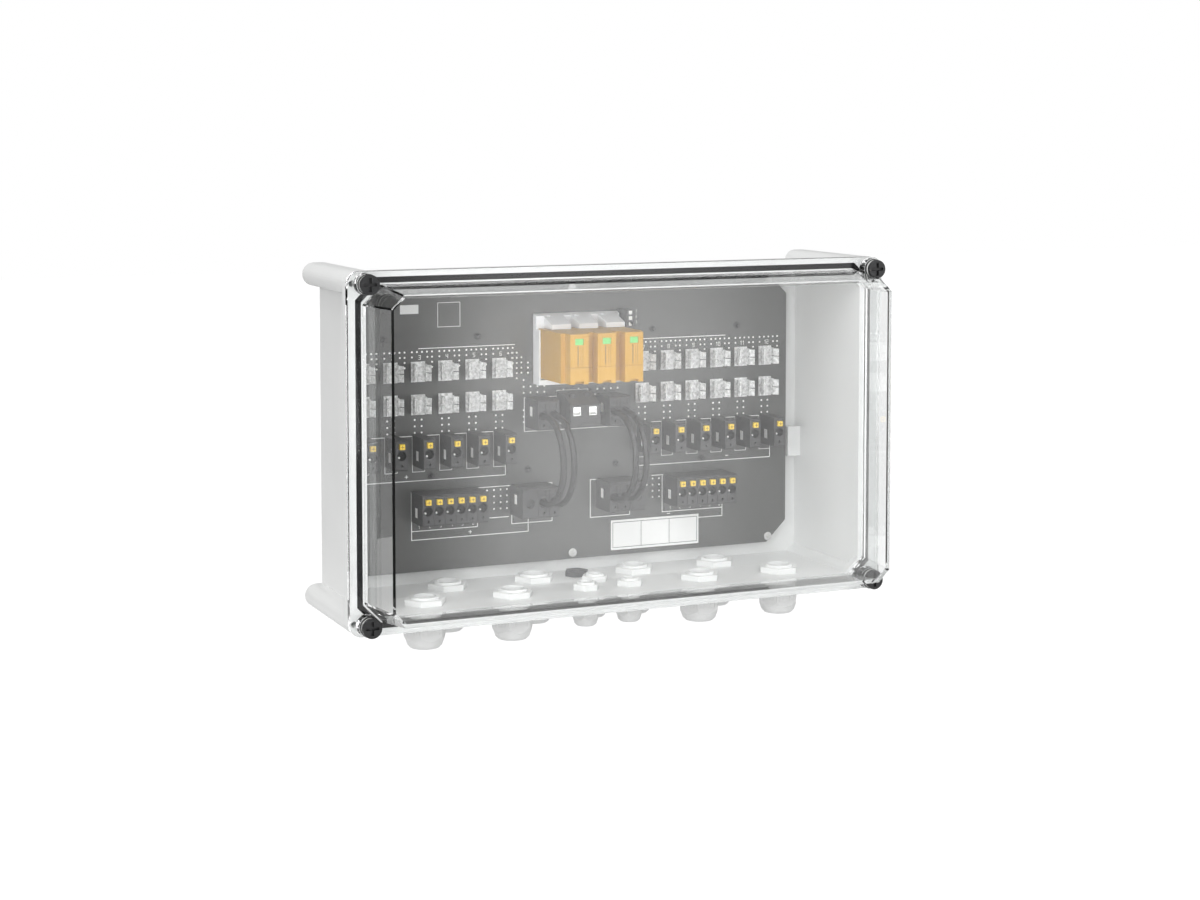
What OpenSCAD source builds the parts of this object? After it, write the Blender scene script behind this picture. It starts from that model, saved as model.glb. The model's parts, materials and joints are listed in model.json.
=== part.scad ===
// Wall-mounted combiner box for solar strings, under a clear cover that lifts off.
// Pieces are drawn as seen from the front: x to the right, y up and z out from the wall.
// stand_up() turns that drawing into the part's frame, where the front faces -Y and Z is up.

/* [Enclosure base] */
// Width over the rim
box_w = 500; // [490:1:560]
// Height over the rim
box_h = 300; // [294:1:340]
// Depth of the base from the wall to its rim
base_d = 123; // [112:1:160]
// Thickness of the base's walls
base_wall = 4; // [3:0.5:5]
// Thickness of the rim plate
rim_t = 8; // [6:0.5:10]
// Width of the rim plate at the left and right
rim_side = 19.5; // [18:0.5:22]
// Width of the rim plate at the top and bottom
rim_top = 13; // [12.5:0.5:15]
// Corner radius of the rim
rim_r = 10; // [6:1:12]
// Cut across each corner of the rim's opening, along each side
rim_cut = 14; // [12:1:18]
// Width of the four screw columns
column_w = 28; // [26:1:30]
// Height of the four screw columns
column_h = 20; // [18:1:20]

/* [Wall fixing] */
// Radius of the wall screw holes
wall_hole_r = 2.75; // [2:0.25:3]
// Step outwards from the cover screw to the wall screw hole beside it
wall_hole_step = 9; // [8.75:0.25:9.25]

/* [Gasket] */
// Width of the gasket
gasket_w = 4.5; // [3.5:0.5:5]
// Depth of its groove in the rim
groove_d = 3; // [2:0.5:4]
// How far the gasket stands out of the groove
gasket_proud = 0.4; // [0.3:0.1:0.8]
// Clearance beside the gasket in its groove
groove_fit = 0.2; // [0.1:0.1:0.4]
// Gasket's middle line to the rim's edge, left and right
gasket_edge_x = 10; // [9:0.5:11]
// Gasket's middle line to the rim's edge, top and bottom
gasket_edge_y = 7.5; // [7:0.5:8]
// Cut of the gasket's middle line across each corner
gasket_cut = 17; // [16.5:0.5:20]

/* [Cover] */
// Depth of the cover from the base's rim to its front face
cover_d = 57; // [45:1:80]
// Thickness of the clear walls
cover_wall = 3; // [2:0.5:4]
// Thickness of the flange on the rim
flange_t = 6; // [4:0.5:8]
// Rim's edge to the raised box, left and right
cover_edge_x = 20; // [19:0.5:24]
// Rim's edge to the raised box, top and bottom
cover_edge_y = 16; // [15:0.5:19]
// Cut across each corner of the raised box
cover_cut = 11; // [8:0.5:14]
// Radius of the tube round each cover screw
tube_r = 9; // [8:0.25:9.5]
// Height of that tube above the flange
tube_h = 8.5; // [5:0.5:14]

/* [Cover screws] */
// Radius of the head
head_r = 8.2; // [7:0.1:9]
// Height of the head, with its collar
head_h = 8; // [6:0.5:10]
// Height of the collar under the head
collar_h = 2.4; // [2:0.2:3]
// Height of the groove between collar and cap
neck_h = 1.6; // [1:0.1:2]
// Depth of the groove between collar and cap
neck_d = 1.4; // [0.8:0.1:2]
// Width of the cross recess
cross_w = 2.4; // [1.6:0.2:3]
// Depth of the cross recess
cross_d = 2.8; // [1.5:0.1:3]
// Radius of the shaft
shaft_r = 3; // [2.5:0.1:3.4]
// Length of the shaft inside the base
shaft_grip = 24; // [15:1:40]
// Running clearance round the shaft in the cover
shaft_fit = 0.08; // [0.05:0.01:0.1]
// Clearance round the shaft in the base
socket_fit = 0.3; // [0.2:0.05:0.5]

/* [Circuit board] */
// Gap between the board and the box's side walls
board_gap_x = 10.5; // [10:0.5:16]
// How far the board lies left of the box's middle
board_shift = 3.5; // [0:0.5:5]
// Gap between the board and the box's top wall
board_gap_top = 7; // [4:0.5:10]
// Gap between the board and the box's floor
board_gap_bottom = 12; // [10:0.5:14]
// Thickness of the board
board_t = 2; // [1.6:0.1:2.4]
// Cut across the board's corners
board_cut = 20; // [15:1:25]
// Height of the bosses under the board
boss_h = 6; // [5:0.5:10]
// Radius of the bosses
boss_r = 5; // [4:0.25:6]
// Board screws to the board's side edges
board_screw_x = 20; // [12:1:24]
// Board screws to the board's top and bottom edges
board_screw_y = 6; // [5.5:0.5:9]
// Radius of the board screw's shank
board_screw_r = 2; // [1.5:0.1:2.2]
// Radius of the board screw's head
board_head_r = 4; // [3.5:0.1:4.5]
// Height of the board screw's head
board_head_h = 2.6; // [2:0.1:3]
// Clearance of screws in their holes
screw_fit = 0.1; // [0.05:0.05:0.2]
// Height of the locating ribs beside the board
rib_h = 28; // [20:1:40]
// Lower end of those ribs below the box's middle
rib_rise = 44.5; // [40:0.5:50]
// Gap between the board's edge and a locating rib
rib_gap = 1; // [0.5:0.25:2]

/* [Surge protection] */
// Pitch of the plug-in modules
surge_pitch = 26.2; // [25:0.1:27]
// Top of the holder below the board's upper edge
surge_drop = 30.5; // [28:0.5:32]
// Height of the holder
surge_h = 63; // [61:0.5:66]
// Thickness of the holder's back
surge_back = 7; // [6.5:0.5:9]
// Thickness of the holder's end walls
surge_end = 1.4; // [1.2:0.1:2]
// Height of the end walls and of the lower ledge above the board
surge_ledge_d = 14; // [11:0.5:18]
// Thickness of the lower ledge
surge_ledge_h = 4.5; // [3:0.5:5.5]
// Reach of the upper arm above the board
surge_arm_d = 26; // [22:0.5:32]
// Fall of the upper arm's sloping top
surge_slope = 8; // [6:0.5:8.5]
// Thickness of the upper arm at its front edge
surge_lip = 4.4; // [3:0.2:5]
// Width of each of the three upper arms
surge_arm_w = 18.4; // [17:0.2:20]
// How far the arms stand to the right of their modules
surge_arm_shift = 2.2; // [1:0.2:2.6]
// Radius of the screwdriver holes in the upper arm
surge_hole_r = 2.2; // [1.5:0.1:2.8]
// Height of a module
module_h = 44; // [42:0.5:45]
// Front of a module above the board
module_reach = 71; // [60:1:90]
// Depth of the narrow grip at a module's front
grip_d = 12; // [9:0.5:14]
// Width of the grip
grip_w = 17.4; // [15:0.1:20]
// Clearance round a module in its holder
module_fit = 0.4; // [0.3:0.1:0.6]
// Thickness of the plug blades
blade_t = 1.2; // [0.8:0.1:1.6]
// Width of the plug blades
blade_w = 7; // [5:0.5:9]
// Length of the plug blades
blade_l = 5; // [3:0.5:5.5]
// Width of the status window
window_w = 8.2; // [5:0.2:9]
// Height of the status window
window_h = 5.6; // [4:0.2:6]
// Window's upper edge to the module's top
window_drop = 4; // [3.5:0.5:6]
// Thickness of the skin in front of the flag
flag_skin = 1.2; // [0.8:0.1:1.6]
// Thickness of the flag
flag_t = 1.2; // [0.8:0.1:1.6]
// How far the flag covers beyond the window on each side
flag_lap = 0.4; // [0.3:0.1:0.6]
// Travel of the flag
flag_travel = 6; // [5:0.5:8]
// Clearance round the flag
flag_fit = 0.3; // [0.2:0.05:0.4]

/* [Fuse clips] */
// Box's middle to the first fuse and the input terminal below it
string_first = 70.2; // [68:0.2:72]
// Board's side edge to the last fuse and input terminal
string_margin = 22.8; // [20:0.2:26]
// Radius of the fuse that the clips take
fuse_r = 5.15; // [4.8:0.05:5.4]
// Middle of the fuses below the board's upper edge
fuse_drop = 92.2; // [90:0.2:94]
// Distance between the two clips of a fuse
fuse_span = 29; // [28:0.5:33]
// Length of a clip's jaws along the fuse
clip_l = 15; // [12:0.5:16]
// Length of a clip's foot
clip_foot_l = 18; // [16:0.5:20]
// Thickness of the clip's sheet
clip_t = 0.8; // [0.6:0.1:1]
// Width of a clip's foot
clip_foot_w = 13; // [11.5:0.5:14]
// Opening between the jaws
clip_mouth = 8; // [7:0.2:9]
// Length of the flared lips
clip_lip = 5.5; // [3:0.5:6]

/* [Terminals] */
// Height of a terminal block
term_h = 27; // [26:0.5:29]
// Depth of a terminal block above the board
term_d = 30; // [26:0.5:34]
// Width of a single input block
input_w = 11; // [10:0.5:12]
// Bevel along a block's upper and lower front edges
term_bevel = 1.5; // [0.5:0.25:2]
// Pitch of the poles in the blocks of several poles
pole_pitch = 10.16; // [9.8:0.02:10.6]
// Top of the input blocks below the board's upper edge
input_drop = 133; // [130:0.5:136]
// Top of the output blocks and of the lower link blocks below that edge
output_drop = 183; // [180:0.5:186]
// Box's middle to the first output pole
output_first = 97.2; // [94:0.2:104]
// Top of the upper link blocks below the board's upper edge
link_drop = 105; // [102:0.5:106]
// Box's middle to the middle of a pair of links
link_x = 34.6; // [33:0.2:36]
// Width of the extra pole on the lower link blocks
spare_w = 15; // [13:0.5:18]
// Middle of the release buttons below a block's top
button_drop = 5.6; // [5.4:0.1:6.4]
// Side of a release button
button_s = 4.8; // [4.4:0.1:5.2]
// Length of a release button
button_l = 9; // [7:0.5:12]
// How far a button stands out of its block
button_proud = 2.4; // [2.2:0.1:3]
// Travel of a button
button_travel = 2; // [1:0.1:2.2]
// Clearance round a button
button_fit = 0.3; // [0.2:0.05:0.4]
// Middle of the wire entries below a block's top
entry_drop = 13.6; // [13.2:0.1:14.5]
// Radius of a wire entry at the face
entry_r = 4.2; // [3.8:0.1:4.4]
// Radius of a wire entry at its floor
entry_floor_r = 3.4; // [3.1:0.1:3.6]
// Depth of a wire entry down to the closed clamp
entry_d = 3.5; // [2:0.5:3.9]
// Middle of the test holes below a block's top
test_drop = 22.4; // [21:0.2:23]
// Radius of a test hole
test_r = 1.2; // [0.8:0.1:1.4]
// Depth of the small recesses in a block's face
recess_d = 1.2; // [0.6:0.1:2]

/* [Wire links] */
// Radius of the link wires
wire_r = 2.7; // [2.2:0.1:3]
// Straight run of a wire in front of its block
wire_lead = 6.5; // [4:0.5:8]
// Depth of a link wire in its block
wire_grip = 12; // [6:0.5:15]

/* [Earth terminal] */
// Width of the earth block
earth_w = 29.5; // [28:0.5:32]
// Height of the earth block
earth_h = 27; // [25:0.5:29]
// Depth of the earth block above the board
earth_d = 32; // [28:0.5:36]
// Top of the earth block below the board's upper edge
earth_drop = 101.5; // [100:0.5:104]
// Height that the sloping top takes from the front
earth_bevel_y = 9; // [7:0.5:11]
// Depth that the sloping top takes from the top
earth_bevel_z = 18; // [14:0.5:20]
// Half the distance between the two earth poles
earth_pole = 7.75; // [6:0.25:8.5]
// Side of the earth wire openings
earth_port = 8; // [6:0.25:8.5]
// Middle of the earth wire openings above the block's lower edge
earth_port_rise = 12; // [9:0.5:12.5]
// Depth of the earth wire openings
earth_port_d = 9; // [6:0.5:12]
// Wall of the clamp in each opening
clamp_t = 1; // [0.8:0.1:1.4]
// Radius of the earth screws
earth_screw_r = 3; // [2.5:0.1:3.4]
// Height of the earth screws
earth_screw_h = 3; // [2:0.25:4]
// Depth of the holes over the earth screws
earth_hole_d = 5; // [4.5:0.25:6]

/* [Alarm header] */
// Middle of the header from the box's middle
alarm_x = 45.2; // [45:0.2:50]
// Middle of the header below the board's upper edge
alarm_drop = 36; // [34:0.5:40]
// Width of the header
alarm_w = 7.5; // [6:0.25:8]
// Pitch of the header's poles
alarm_pitch = 5.1; // [4.5:0.1:5.2]
// Depth of the header above the board
alarm_d = 20; // [14:0.5:22]

/* [Cable glands] */
// Distance of the front row from the wall
gland_front_z = 85; // [80:0.5:88]
// Distance of the back row from the wall
gland_back_z = 33; // [32:0.5:38]
// First large gland of the front row from the middle
front_gland_x = 90; // [86:1:94]
// Step to the second large gland of the front row
front_gland_step = 80; // [70:1:90]
// First large gland of the back row from the middle
back_gland_x = 49; // [46:1:54]
// Step to the second large gland of the back row
back_gland_step = 82; // [70:1:90]
// Small glands of the front row from the middle
small_gland_x = 21; // [18:0.5:26]
// Distance of the single small gland from the wall
small_gland_z = 56; // [55:0.5:58]
// How far the vent lies left of the middle
vent_x = 6; // [0:0.5:8]
// Distance of the vent from the wall
vent_z = 29; // [26:0.5:29.5]
// Thread radius of a large gland
big_thread_r = 12.5; // [11:0.25:13]
// Thread radius of a small gland
small_thread_r = 8; // [7:0.25:8.5]
// Width across flats of a large gland
big_flats = 33; // [31:0.5:36]
// Width across flats of a small gland
small_flats = 22; // [20:0.5:23]
// Length of a large gland below the box
big_drop = 33; // [30:1:40]
// Length of a small gland below the box
small_drop = 28; // [26:1:34]
// Wall of a gland's tube
gland_wall = 3; // [2:0.25:3.5]
// Wall of a gland's rubber seal
seal_wall = 1.5; // [1:0.25:2]
// Height of a gland's fixed hexagon
gland_hex_h = 7; // [5:0.5:9]
// Length of the thread that the dome nut turns on
dome_thread = 8; // [6:0.5:10]
// Length of the rubber seal
seal_l = 8; // [6:0.5:9]
// Wall of the dome nut round its thread
dome_lip = 5; // [3:0.5:6]
// Height of the lock nuts
nut_h = 5; // [4:0.5:7]
// Length of thread that shows past a lock nut
nut_proud = 2; // [1:0.5:3]
// Clearance of threads in their holes and nuts
thread_fit = 0.2; // [0.1:0.05:0.3]
// Radius of the vent's thread
vent_thread_r = 6; // [5:0.25:7]
// Radius of the vent's cap
vent_cap_r = 10; // [9:0.25:12]
// Height of the vent's cap
vent_cap_h = 7; // [5:0.5:9]
// Width across flats of the vent's lock nut
vent_flats = 19; // [17:0.5:20]

/* [Hidden] */
$fn = 48;
// Overshoot of cuts beyond the faces they open
over = 1;
// Strings of each polarity, and poles of each output block
per_side = 6;
arc_steps = 8;

sides = ["left", "right"];
corners = ["top_left", "top_right", "bottom_left", "bottom_right"];
module_names = ["left", "middle", "right"];

// Enclosure
inner_x = box_w / 2 - rim_side;
inner_y = box_h / 2 - rim_top;
column_x = (box_w - column_w) / 2;
column_y = (box_h - column_h) / 2;
under_rim = base_d - rim_t;
floor_y = -inner_y - base_wall;

// Cover
seam_z = base_d + gasket_proud;
front_z = base_d + cover_d;
cover_x = box_w / 2 - cover_edge_x;
cover_y = box_h / 2 - cover_edge_y;
tube_z = seam_z + flange_t + tube_h;

// Board and the places on it, downwards from its upper edge
board_w = 2 * (inner_x - board_gap_x);
board_x = -board_shift;
board_top = inner_y - board_gap_top;
board_h = board_top + inner_y - board_gap_bottom;
board_y = board_top - board_h / 2;
board_z = base_wall + boss_h;
face_z = board_z + board_t;
surge_top = board_top - surge_drop;
alarm_y = board_top - alarm_drop;
fuse_y = board_top - fuse_drop;
link_top = board_top - link_drop;
earth_y = board_top - earth_drop - earth_h;
input_top = board_top - input_drop;
output_top = board_top - output_drop;
board_screw_places = [
    for (x = [-1, 0, 1], y = [-1, 1])
        [board_x + x * (board_w / 2 - board_screw_x), board_y + y * (board_h / 2 - board_screw_y)]
];

// Surge protection
surge_y = surge_top - surge_h;
arm_under = surge_top - surge_slope - surge_lip;
module_w = surge_pitch - 2 * module_fit;
module_top = arm_under - module_fit;
module_y = module_top - module_h;
module_z = face_z + surge_back + module_fit;
module_front = face_z + module_reach;
grip_z = module_front - grip_d;
surge_half_w = 1.5 * surge_pitch + surge_end;
window_top = module_top - window_drop;
flag_w = window_w + 2 * flag_lap;
flag_h = window_h + 2 * flag_lap;
flag_z = module_front - flag_skin - flag_fit - flag_t;
blade_places = [module_y + module_h / 4, module_y + module_h * 3 / 4];

// Rows of poles from left to right
string_pitch = (board_w / 2 - string_margin - string_first) / (per_side - 1);
string_places = two_rows(string_first, string_pitch);
output_places = two_rows(output_first, pole_pitch);
output_middle = output_first + (per_side - 1) / 2 * pole_pitch;
term_z = face_z + term_d;
spare_x = link_x + pole_pitch + spare_w / 2;

// Wire links
link_bend_r = (link_top - output_top) / 2;
link_bend_y = (link_top + output_top) / 2 - entry_drop;
link_bend_z = term_z + wire_lead;

// Earth block
earth_tilt = atan2(earth_bevel_z, earth_bevel_y);

// Glands, each [across, out from the wall]
big_glands = concat(
    [for (s = [-1, 1], i = [0, 1]) [s * (front_gland_x + i * front_gland_step), gland_front_z]],
    [for (s = [-1, 1], i = [0, 1]) [s * (back_gland_x + i * back_gland_step), gland_back_z]]
);
small_glands = [[-small_gland_x, gland_front_z], [small_gland_x, gland_front_z], [0, small_gland_z]];
vent_place = [[-vent_x, vent_z]];
nut_top = base_wall + nut_h;

// Two mirrored rows of places, listed from left to right
function two_rows(first, pitch) = concat(
    [for (i = [per_side - 1:-1:0]) -first - i * pitch],
    [for (i = [0:per_side - 1]) first + i * pitch]
);

// Points of an arc about a middle, from one angle to another
function arc(middle, r, from, to) = [
    for (i = [0:arc_steps])
        let (a = from + (to - from) * i / arc_steps)
            middle + r * [cos(a), sin(a)]
];

// Turns the front-view drawing upright
module stand_up() {
    rotate([90, 0, 0]) children();
}

// The same for pieces whose places count from the board's middle
module stand_on_board() {
    stand_up() translate([board_x, 0, 0]) children();
}

// Rectangle of half sizes x and y with cut corners, grown outwards by grow
module cut_rect(x, y, cut, grow = 0) {
    a = x + grow;
    b = y + grow;
    c = cut + grow * (2 - sqrt(2));
    polygon([
        [a, c - b], [a, b - c], [a - c, b], [c - a, b],
        [-a, b - c], [-a, c - b], [c - a, -b], [a - c, -b]
    ]);
}

module round_rect(w, h, r) {
    x = w / 2 - r;
    y = h / 2 - r;
    polygon(concat(
        arc([x, y], r, 0, 90), arc([-x, y], r, 90, 180),
        arc([-x, -y], r, 180, 270), arc([x, -y], r, 270, 360)
    ));
}

// Profile drawn as [y, z] and swept along x, centred on x = 0
module sweep_x(w) {
    translate([-w / 2, 0, 0]) rotate([90, 0, 90]) linear_extrude(w) children();
}

module block(x, y, z, w, h, d) {
    translate([x - w / 2, y, z]) cube([w, h, d]);
}

module at_corners(step = 0) {
    for (x = [-1, 1], y = [-1, 1])
        translate([x * (column_x + step), y * column_y, 0]) children();
}

// Stands its children on the box's underside, with their z pointing down
module at_glands(places) {
    for (p = places)
        translate([p[0], floor_y, p[1]]) rotate([90, 0, 0]) children();
}

module hexagon(flats, h) {
    cylinder(r = flats / 2 / cos(30), h = h, $fn = 6);
}

// Enclosure base

module columns(z, h) {
    translate([0, 0, z]) linear_extrude(h)
        for (x = [-1, 1], y = [-1, 1])
            translate([x * column_x, y * column_y]) round_rect(column_w, column_h, column_h / 2 - 0.01);
}

module gasket_outline(half) {
    cut_rect(box_w / 2 - gasket_edge_x, box_h / 2 - gasket_edge_y, gasket_cut, half);
}

module gasket_band(w, h) {
    linear_extrude(h) difference() {
        gasket_outline(w / 2);
        gasket_outline(-w / 2);
    }
}

module base_shell() {
    difference() {
        union() {
            translate([0, 0, under_rim / 2]) cube([2 * (inner_x + base_wall), -2 * floor_y, under_rim], true);
            columns(0, under_rim);
            translate([0, 0, under_rim]) linear_extrude(rim_t) round_rect(box_w, box_h, rim_r);
        }
        difference() {
            translate([-inner_x, -inner_y, base_wall])
                cube([2 * inner_x, 2 * inner_y, under_rim - base_wall]);
            columns(0, base_d);
        }
        translate([0, 0, under_rim - 0.01]) linear_extrude(rim_t + over) cut_rect(inner_x, inner_y, rim_cut);
    }
}

module board_bosses() {
    for (p = board_screw_places)
        translate([p[0], p[1], base_wall - over]) cylinder(r = boss_r, h = boss_h + over);
}

// Ribs that keep the board in the middle, one on each side wall
module board_ribs() {
    for (s = [-1, 1]) {
        rib_w = inner_x - s * board_x - board_w / 2 - rib_gap;
        block(s * (inner_x - rib_w / 2 + over / 2), -rib_rise, base_wall - over, rib_w + over, rib_h, face_z);
    }
}

module enclosure_base() {
    color("gainsboro") stand_up() difference() {
        union() {
            base_shell();
            board_bosses();
            board_ribs();
        }
        translate([0, 0, base_d - groove_d]) gasket_band(gasket_w + 2 * groove_fit, groove_d + over);
        at_corners() translate([0, 0, base_d - shaft_grip - over])
            cylinder(r = shaft_r + socket_fit, h = shaft_grip + 2 * over);
        at_corners(wall_hole_step) translate([0, 0, -over])
            cylinder(r = wall_hole_r, h = base_d + 2 * over);
        for (p = board_screw_places)
            translate([p[0], p[1], base_wall]) cylinder(r = board_screw_r + screw_fit, h = boss_h + over);
        floor_hole(big_glands, big_thread_r);
        floor_hole(small_glands, small_thread_r);
        floor_hole(vent_place, vent_thread_r);
    }
}

module floor_hole(places, r) {
    at_glands(places) translate([0, 0, -base_wall - over])
        cylinder(r = r + thread_fit, h = base_wall + 2 * over);
}

module cover_gasket() {
    color("black") stand_up() translate([0, 0, base_d - groove_d])
        gasket_band(gasket_w, groove_d + gasket_proud);
}

// Clear cover and its screws

module cover() {
    color("lightcyan", 0.4) stand_up() difference() {
        union() {
            translate([0, 0, seam_z]) linear_extrude(flange_t) round_rect(box_w, box_h, rim_r);
            translate([0, 0, seam_z]) linear_extrude(front_z - seam_z) cut_rect(cover_x, cover_y, cover_cut);
            at_corners() translate([0, 0, seam_z]) cylinder(r = tube_r, h = flange_t + tube_h);
        }
        translate([0, 0, seam_z - over]) linear_extrude(front_z - seam_z - cover_wall + over)
            cut_rect(cover_x, cover_y, cover_cut, -cover_wall);
        at_corners() translate([0, 0, seam_z - over])
            cylinder(r = shaft_r + shaft_fit, h = flange_t + tube_h + 2 * over);
    }
}

module screw_head() {
    cap_z = collar_h + neck_h;
    difference() {
        union() {
            cylinder(r = head_r + 0.4, h = collar_h);
            cylinder(r = head_r - neck_d, h = cap_z + 0.5);
            translate([0, 0, cap_z]) cylinder(r = head_r, h = head_h - cap_z);
        }
        for (a = [0, 90])
            rotate([0, 0, a])
                block(0, -head_r * 0.7, head_h - cross_d, cross_w, head_r * 1.4, cross_d + over);
    }
}

module cover_screw(corner) {
    x = (corner == "top_left" || corner == "bottom_left") ? -1 : 1;
    y = (corner == "top_left" || corner == "top_right") ? 1 : -1;
    color("dimgray") stand_up() translate([x * column_x, y * column_y, 0]) {
        translate([0, 0, tube_z]) screw_head();
        translate([0, 0, base_d - shaft_grip]) cylinder(r = shaft_r, h = tube_z + 0.5 - base_d + shaft_grip);
    }
}

// Circuit board

module circuit_board() {
    color([0.12, 0.12, 0.13]) stand_up() difference() {
        translate([board_x, board_y, board_z]) linear_extrude(board_t)
            cut_rect(board_w / 2, board_h / 2, board_cut);
        for (p = board_screw_places)
            translate([p[0], p[1], board_z - over])
                cylinder(r = board_screw_r + screw_fit, h = board_t + 2 * over);
    }
}

module board_screws() {
    color("silver") stand_up() for (p = board_screw_places)
        translate([p[0], p[1], 0]) difference() {
            union() {
                translate([0, 0, face_z]) cylinder(r = board_head_r, h = board_head_h);
                translate([0, 0, base_wall + over]) cylinder(r = board_screw_r, h = face_z - base_wall);
            }
            for (a = [0, 90])
                translate([0, 0, face_z + board_head_h / 2]) rotate([0, 0, a])
                    block(0, -board_head_r / 2, 0, board_head_r / 4, board_head_r, board_head_h);
        }
}

// Surge protection

// Side view of the holder: back, lower ledge and upper arm with a sloping top
module surge_profile() {
    polygon([
        [surge_y, face_z], [surge_top, face_z], [surge_top, face_z + 2],
        [surge_top - surge_slope, face_z + surge_arm_d], [arm_under, face_z + surge_arm_d],
        [arm_under, face_z + surge_back], [surge_y + surge_ledge_h, face_z + surge_back],
        [surge_y + surge_ledge_h, face_z + surge_ledge_d], [surge_y, face_z + surge_ledge_d]
    ]);
}

module surge_base() {
    arm_gap = surge_pitch - surge_arm_w;
    hole_x = surge_arm_shift - surge_arm_w / 2 + 2 * surge_hole_r;
    hole_z = face_z + surge_arm_d / 3;
    color("white") stand_up() difference() {
        union() {
            sweep_x(2 * surge_half_w) surge_profile();
            for (s = [-1, 1])
                block(s * (surge_half_w - surge_end / 2), surge_y, face_z,
                    surge_end, surge_h - surge_slope, surge_ledge_d);
        }
        for (i = [-1:2])
            block((i - 0.5) * surge_pitch + surge_arm_shift, arm_under - over, face_z + surge_back,
                arm_gap, surge_h, surge_arm_d);
        for (i = [-1:1]) {
            translate([i * surge_pitch + hole_x, arm_under + surge_lip, hole_z]) rotate([-90, 0, 0])
                cylinder(r = surge_hole_r, h = surge_h);
            for (y = blade_places)
                block(i * surge_pitch, y - blade_w / 2 - module_fit, face_z + surge_back - blade_l,
                    blade_t + 2 * module_fit, blade_w + 2 * module_fit, blade_l + over);
        }
    }
}

// Orange plug-in module: wide body, narrow grip, plug blades and the flag's chamber
module surge_module(i) {
    seam = 0.4;
    notch_w = window_w;
    notch_h = 2.4;
    color("orange") stand_up() translate([i * surge_pitch, 0, 0]) difference() {
        union() {
            block(0, module_y, module_z, module_w, module_h, grip_z - module_z);
            block(0, module_y, grip_z - over, grip_w, module_h, grip_d + over);
            for (y = blade_places)
                block(0, y - blade_w / 2, module_z - blade_l, blade_t, blade_w, blade_l + over);
        }
        block(0, module_y + module_h / 3, module_front - seam, grip_w + over, seam, seam + over);
        block(0, module_y - over, grip_z + grip_d / 2, notch_w, notch_h + over, grip_d);
        block(0, window_top - window_h, module_front - flag_skin - over,
            window_w, window_h, flag_skin + 2 * over);
        block(0, window_top + flag_lap - flag_h - flag_travel - flag_fit, flag_z - flag_fit,
            flag_w + 2 * flag_fit, flag_h + flag_travel + 2 * flag_fit, flag_t + 2 * flag_fit);
    }
}

module status_flag(i) {
    color("limegreen") stand_up()
        block(i * surge_pitch, window_top + flag_lap - flag_h, flag_z, flag_w, flag_h, flag_t);
}

module alarm_header() {
    poles = 3;
    port = alarm_pitch * 0.7;
    h = poles * alarm_pitch;
    color("dimgray") stand_up() difference() {
        block(alarm_x, alarm_y - h / 2, face_z, alarm_w, h, alarm_d);
        for (i = [-1:1])
            block(alarm_x + alarm_w / 8, alarm_y + i * alarm_pitch - port / 2, face_z + alarm_d - recess_d,
                port, port, recess_d + over);
    }
}

// Fuse clips

// Spring clip round a fuse that runs along y: foot, two slit jaws and flared lips
module fuse_clip() {
    fuse_z = clip_t * 1.4 + fuse_r;
    lip_l = clip_l - clip_t;
    lip_x = clip_mouth / 2 + clip_t / 4;
    lip_r = fuse_r + clip_t * 0.4;
    lip_z = fuse_z + sqrt(lip_r * lip_r - lip_x * lip_x);
    flare = 32;
    difference() {
        union() {
            block(0, -clip_foot_l / 2, 0, clip_foot_w, clip_foot_l, clip_t);
            difference() {
                along_fuse(fuse_r + clip_t, clip_l, fuse_z);
                block(0, -clip_l, fuse_z, clip_mouth, 2 * clip_l, 2 * fuse_r);
            }
            for (s = [-1, 1])
                translate([s * lip_x, 0, lip_z]) rotate([0, s * flare, 0])
                    block(s * clip_t / 2, -lip_l / 2, 0, clip_t, lip_l, clip_lip);
        }
        along_fuse(fuse_r, clip_l + 2 * over, fuse_z);
        block(0, -clip_t / 2, fuse_z - fuse_r / 3, 2 * clip_foot_w, clip_t, 2 * clip_foot_w);
    }
}

module along_fuse(r, l, z) {
    translate([0, l / 2, z]) rotate([90, 0, 0]) cylinder(r = r, h = l);
}

module fuse_clips() {
    color("silver") stand_on_board() for (x = string_places, y = [-1, 1])
        translate([x, fuse_y + y * fuse_span / 2, face_z]) fuse_clip();
}

// Terminal blocks

module terminal_body(w) {
    sweep_x(w) polygon([
        [0, 0], [0, term_d - term_bevel], [-term_bevel, term_d],
        [term_bevel - term_h, term_d], [-term_h, term_d - term_bevel], [-term_h, 0]
    ]);
}

// Wire entry that a closed clamp ends just behind the face
module wire_entry() {
    translate([0, -entry_drop, term_d - entry_d])
        cylinder(r1 = entry_floor_r, r2 = entry_r, h = entry_d + 0.001);
}

module test_hole() {
    translate([0, -test_drop, term_d - 2 * recess_d]) cylinder(r = test_r, h = 2 * recess_d + over);
}

module button_pocket() {
    side = button_s + 2 * button_fit;
    depth = button_l - button_proud + button_travel + button_fit;
    block(0, -button_drop - side / 2, term_d - depth, side, side, depth + over);
}

module push_in_pole() {
    wire_entry();
    test_hole();
    button_pocket();
}

module input_terminals(s) {
    color([0.1, 0.1, 0.1]) stand_on_board() for (i = [0:per_side - 1])
        translate([s * (string_first + i * string_pitch), input_top, face_z]) difference() {
            terminal_body(input_w);
            push_in_pole();
        }
}

// Score line between neighbouring poles
module pole_score(x) {
    block(x, -term_h - over, term_d - recess_d / 2, recess_d / 2, term_h + 2 * over, recess_d);
}

module output_terminal(s) {
    color([0.1, 0.1, 0.1]) stand_on_board() translate([s * output_middle, output_top, face_z]) difference() {
        terminal_body(per_side * pole_pitch);
        for (i = [0:per_side - 1]) {
            x = (i - (per_side - 1) / 2) * pole_pitch;
            translate([x, 0, 0]) push_in_pole();
            if (i > 0) pole_score(x - pole_pitch / 2);
        }
    }
}

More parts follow.
